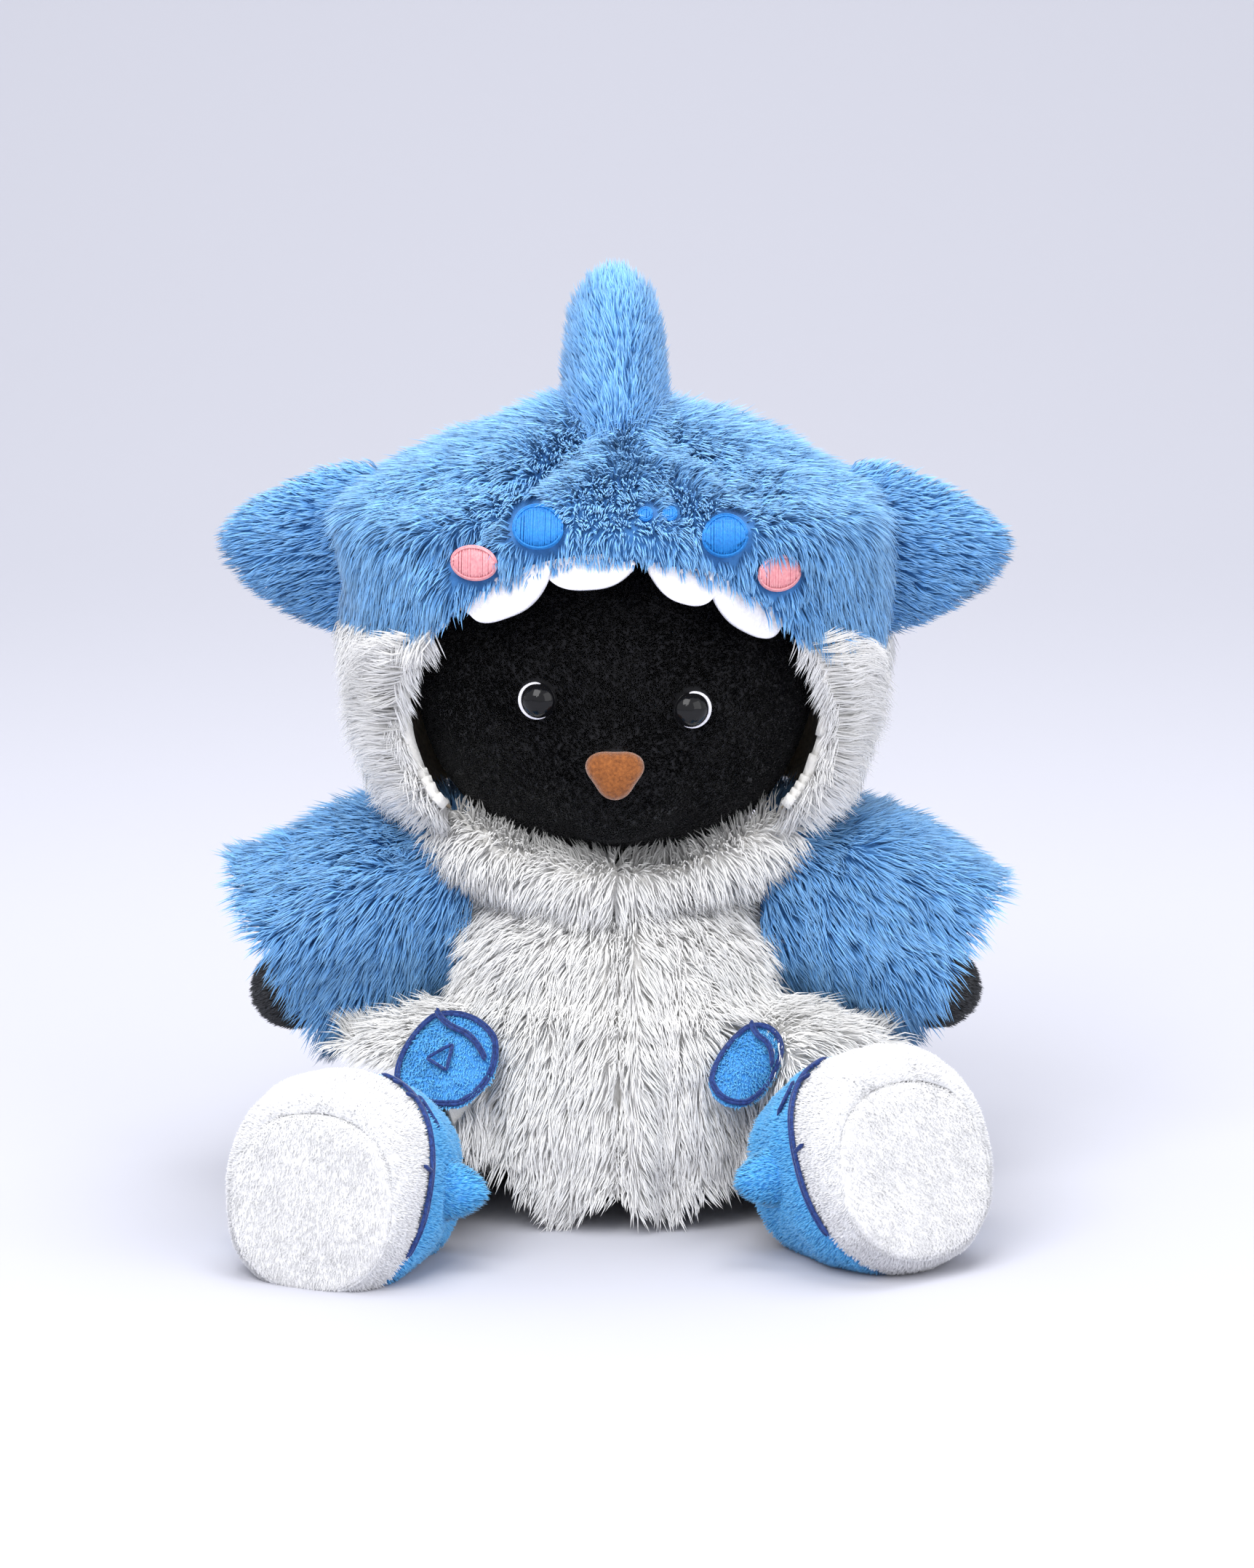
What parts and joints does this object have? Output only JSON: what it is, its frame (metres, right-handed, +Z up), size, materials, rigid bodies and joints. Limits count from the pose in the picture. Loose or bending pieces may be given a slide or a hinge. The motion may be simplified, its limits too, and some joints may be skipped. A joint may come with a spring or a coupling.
{
  "type": "jointed plush bear in a shark costume",
  "caption": "Seated jointed plush bear wearing a hooded shark coat with fins, felt teeth and slippers; head, arms and legs turn on disc joints and the slippers pull off.",
  "frame": {"origin": "middle of the flat seat under the torso, on the floor", "axes": "+Z up, the face looks along -Y, +X is the toy's own left"},
  "size_m": [0.2632, 0.2443, 0.32],
  "materials": {
    "black_plush": "matte",
    "blue_fur": "matte",
    "blue_velboa": "matte",
    "eye_plastic": "gloss",
    "felt": "matte",
    "fill": "matte",
    "joint_plastic": "satin",
    "lining": "matte",
    "navy_trim": "matte",
    "nose_flock": "matte",
    "sole_fabric": "matte",
    "steel_clip": "satin",
    "stitch_blue": "satin",
    "stitch_pink": "satin",
    "white_fur": "matte"
  },
  "bodies": {
    "torso": {"closure_hook": "felt", "closure_loop": "felt", "coat_back": "blue_fur", "coat_front_left": "white_fur", "coat_front_right": "white_fur", "collar_ruff": "white_fur", "joint_clips": "steel_clip", "joint_washers": "joint_plastic", "pocket_left": "blue_velboa", "pocket_right": "blue_velboa", "pocket_trim_left": "navy_trim", "pocket_trim_right": "navy_trim", "torso_skin": "black_plush", "torso_stuffing": "fill"},
    "head": {"cheek_left": "stitch_pink", "cheek_right": "stitch_pink", "eye_left": "eye_plastic", "eye_right": "eye_plastic", "eye_rings": "felt", "face_washers": "joint_plastic", "fin_dorsal": "blue_fur", "fin_left": "blue_fur", "fin_right": "blue_fur", "head_skin": "black_plush", "head_stuffing": "fill", "hood_border": "white_fur", "hood_lining": "lining", "hood_top": "blue_fur", "neck_disc": "joint_plastic", "nose": "nose_flock", "nostrils": "stitch_blue", "shark_eye_left": "stitch_blue", "shark_eye_right": "stitch_blue", "teeth_left": "felt", "teeth_right": "felt"},
    "arm_left": {"arm_skin_left": "black_plush", "arm_stuffing_left": "fill", "shoulder_disc_left": "joint_plastic", "sleeve_left": "blue_fur"},
    "arm_right": {"arm_skin_right": "black_plush", "arm_stuffing_right": "fill", "shoulder_disc_right": "joint_plastic", "sleeve_right": "blue_fur"},
    "leg_left": {"hip_disc_left": "joint_plastic", "leg_skin_left": "black_plush", "leg_stuffing_left": "fill"},
    "leg_right": {"hip_disc_right": "joint_plastic", "leg_skin_right": "black_plush", "leg_stuffing_right": "fill"},
    "shoe_left": {"shoe_fins_left": "blue_velboa", "shoe_jaw_left": "felt", "shoe_sole_left": "sole_fabric", "shoe_trim_left": "navy_trim", "shoe_upper_left": "blue_velboa"},
    "shoe_right": {"shoe_fins_right": "blue_velboa", "shoe_jaw_right": "felt", "shoe_sole_right": "sole_fabric", "shoe_trim_right": "navy_trim", "shoe_upper_right": "blue_velboa"}
  },
  "joints": [
    {"name": "head_turn", "type": "hinge", "parent": "torso", "child": "head", "pos_m": [0, -0.004, 0.125], "axis": [0, 0, 1], "range_deg": [-25, 25]},
    {"name": "arm_left_swing", "type": "hinge", "parent": "torso", "child": "arm_left", "pos_m": [0.035, 0, 0.106], "axis": [-1, 0, 0], "range_deg": [-30, 100]},
    {"name": "arm_right_swing", "type": "hinge", "parent": "torso", "child": "arm_right", "pos_m": [-0.035, 0, 0.106], "axis": [-1, 0, 0], "range_deg": [-30, 100]},
    {"name": "leg_left_swing", "type": "hinge", "parent": "torso", "child": "leg_left", "pos_m": [0.035, -0.005, 0.03], "axis": [1, 0, 0], "range_deg": [0, 80]},
    {"name": "leg_right_swing", "type": "hinge", "parent": "torso", "child": "leg_right", "pos_m": [-0.035, -0.005, 0.03], "axis": [1, 0, 0], "range_deg": [0, 80]},
    {"name": "shoe_left_off", "type": "slide", "parent": "leg_left", "child": "shoe_left", "axis": [0.504, -0.8065, 0.309], "range_m": [0, 0.04]},
    {"name": "shoe_right_off", "type": "slide", "parent": "leg_right", "child": "shoe_right", "axis": [-0.3822, -0.9004, 0.2079], "range_m": [0, 0.04]}
  ]
}
